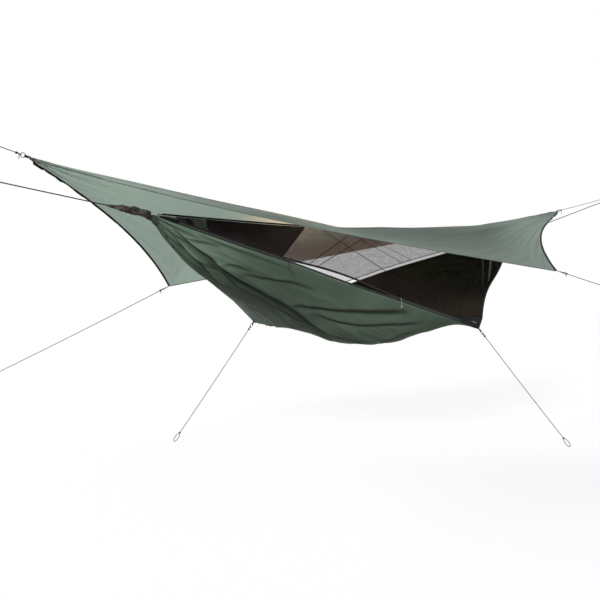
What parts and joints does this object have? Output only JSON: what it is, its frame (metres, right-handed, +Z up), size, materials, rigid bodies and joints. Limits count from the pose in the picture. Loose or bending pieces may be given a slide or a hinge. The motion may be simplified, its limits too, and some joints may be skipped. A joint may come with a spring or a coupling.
{
  "type": "hammock tent",
  "caption": "Gathered hammock with a zipped insect net and an asymmetric rain fly above it, hung by two lines and pulled out by four guy lines.",
  "frame": {"origin": "middle of the straight line between the hammock's two gathered ends", "axes": "+X along the ridge line to the right-hand end as seen from the zip side, +Y to the far side, +Z up"},
  "size_m": [4.8588, 2.5257, 1.671],
  "materials": {
    "body_cloth": "fine plain weave",
    "cord": "braided",
    "dark_pull_cord": "cord",
    "fly_cloth": "coated, slight sheen",
    "hook_plastic": "matte",
    "insect_net": "fine net",
    "pale_pull_cord": "cord",
    "pocket_mesh": "dense mesh",
    "ring_steel": "satin",
    "sleeve_cloth": "mottled grey",
    "webbing": "woven",
    "zip_coil": "satin",
    "zip_metal": "dark, satin",
    "zip_tape": "woven tape"
  },
  "bodies": {
    "tent": {"corner_patch_far": "webbing", "corner_patch_near": "webbing", "corner_tab_far": "webbing", "corner_tab_near": "webbing", "edge_binding_far_long": "webbing", "edge_binding_far_short": "webbing", "edge_binding_near": "webbing", "far_net": "insect_net", "fly_binding_left": "webbing", "fly_binding_right": "webbing", "fly_guy_line_far": "cord", "fly_guy_line_near": "cord", "fly_ridge_line_left": "cord", "fly_ridge_line_right": "cord", "fly_tab_far": "webbing", "fly_tab_left": "webbing", "fly_tab_near": "webbing", "fly_tab_right": "webbing", "gather_left": "body_cloth", "gather_right": "body_cloth", "hammock_body": "body_cloth", "near_net": "insect_net", "net_ridge_binding": "webbing", "rain_fly": "fly_cloth", "ridge_line": "cord", "side_guy_line_far": "cord", "side_guy_line_near": "cord", "storage_sleeve_left": "sleeve_cloth", "storage_sleeve_right": "sleeve_cloth", "suspension_line_left": "cord", "suspension_line_right": "cord", "zip_chain_left": "zip_coil", "zip_chain_right": "zip_coil", "zip_end_stop": "zip_metal", "zip_row_lower": "zip_coil", "zip_row_upper": "zip_coil", "zip_tape_lower": "zip_tape", "zip_tape_upper": "zip_tape"},
    "zip_slider_left": {"zip_slider_left": "zip_metal"},
    "zip_slider_right": {"zip_slider_right": "zip_metal"},
    "zip_pull_left": {"zip_pull_left": "dark_pull_cord"},
    "zip_pull_right": {"zip_pull_right": "pale_pull_cord"},
    "ridge_organiser": {"ridge_pocket": "pocket_mesh", "pocket_loop_left": "cord", "pocket_loop_right": "cord"},
    "hook_loop_1": {"hook_loop_1": "cord"},
    "hook_loop_2": {"hook_loop_2": "cord"},
    "gear_hook_1": {"gear_hook_1": "hook_plastic"},
    "gear_hook_2": {"gear_hook_2": "hook_plastic"},
    "fly_ring_left": {"fly_ring_left": "ring_steel"},
    "fly_ring_right": {"fly_ring_right": "ring_steel"},
    "fly_ring_near": {"fly_ring_near": "ring_steel"},
    "fly_ring_far": {"fly_ring_far": "ring_steel"},
    "corner_ring_near": {"corner_ring_near": "ring_steel"},
    "corner_ring_far": {"corner_ring_far": "ring_steel"}
  },
  "joints": [
    {"name": "zip_slider_left_slide", "type": "slide", "parent": "tent", "child": "zip_slider_left", "axis": [0.9205, -0.2441, -0.3051], "range_m": [-0.55, 0.32], "deforming": ["zip_tape_lower", "zip_tape_upper", "zip_chain_left", "zip_chain_right", "zip_row_lower", "zip_row_upper"]},
    {"name": "zip_slider_right_slide", "type": "slide", "parent": "tent", "child": "zip_slider_right", "axis": [0.9205, -0.2441, -0.3051], "range_m": [-0.32, 0.36], "deforming": ["zip_tape_lower", "zip_tape_upper", "zip_chain_left", "zip_chain_right", "zip_row_lower", "zip_row_upper"]},
    {"name": "zip_pull_left_hinge", "type": "hinge", "parent": "zip_slider_left", "child": "zip_pull_left", "pos_m": [-0.65326, -0.17809, -0.21341], "axis": [0.925, -0.2453, -0.2902], "range_deg": [-140, 0]},
    {"name": "zip_pull_right_hinge", "type": "hinge", "parent": "zip_slider_right", "child": "zip_pull_right", "pos_m": [-0.01989, -0.34605, -0.42136], "axis": [0.9205, -0.2441, -0.3051], "range_deg": [-140, 0]},
    {"name": "ridge_organiser_slide", "type": "slide", "parent": "tent", "child": "ridge_organiser", "axis": [0.9999, 0, -0.0143], "range_m": [-0.03, 0.01]},
    {"name": "hook_loop_1_slide", "type": "slide", "parent": "tent", "child": "hook_loop_1", "axis": [1, 0, -0.0076], "range_m": [-0.005, 0.03]},
    {"name": "hook_loop_2_slide", "type": "slide", "parent": "tent", "child": "hook_loop_2", "axis": [1, 0, -0.006], "range_m": [-0.02, 0.03]},
    {"name": "gear_hook_1_swing", "type": "hinge", "parent": "hook_loop_1", "child": "gear_hook_1", "pos_m": [-0.385, 0, -0.02754], "axis": [0, 1, 0], "range_deg": [-45, 45]},
    {"name": "gear_hook_2_swing", "type": "hinge", "parent": "hook_loop_2", "child": "gear_hook_2", "pos_m": [-0.305, 0, -0.02808], "axis": [0, 1, 0], "range_deg": [-45, 45]},
    {"name": "fly_ring_left_turn", "type": "hinge", "parent": "tent", "child": "fly_ring_left", "pos_m": [-1.91745, 0, 0.2161], "axis": [0, -1, 0], "continuous": true},
    {"name": "fly_ring_right_turn", "type": "hinge", "parent": "tent", "child": "fly_ring_right", "pos_m": [1.91785, 0, 0.21425], "axis": [0, -1, 0], "continuous": true},
    {"name": "fly_ring_near_turn", "type": "hinge", "parent": "tent", "child": "fly_ring_near", "pos_m": [0.91035, -0.71336, -0.27776], "axis": [0.2468, -0.2057, 0.947], "continuous": true},
    {"name": "fly_ring_far_turn", "type": "hinge", "parent": "tent", "child": "fly_ring_far", "pos_m": [-0.92888, 0.73298, -0.354], "axis": [-0.3339, 0.2783, 0.9006], "continuous": true},
    {"name": "corner_ring_near_turn", "type": "hinge", "parent": "tent", "child": "corner_ring_near", "pos_m": [0.47376, -0.48861, -0.62095], "axis": [0.1284, -0.8847, 0.4481], "continuous": true},
    {"name": "corner_ring_far_turn", "type": "hinge", "parent": "tent", "child": "corner_ring_far", "pos_m": [-0.47266, 0.4878, -0.58194], "axis": [-0.1587, 0.8979, 0.4107], "continuous": true}
  ]
}
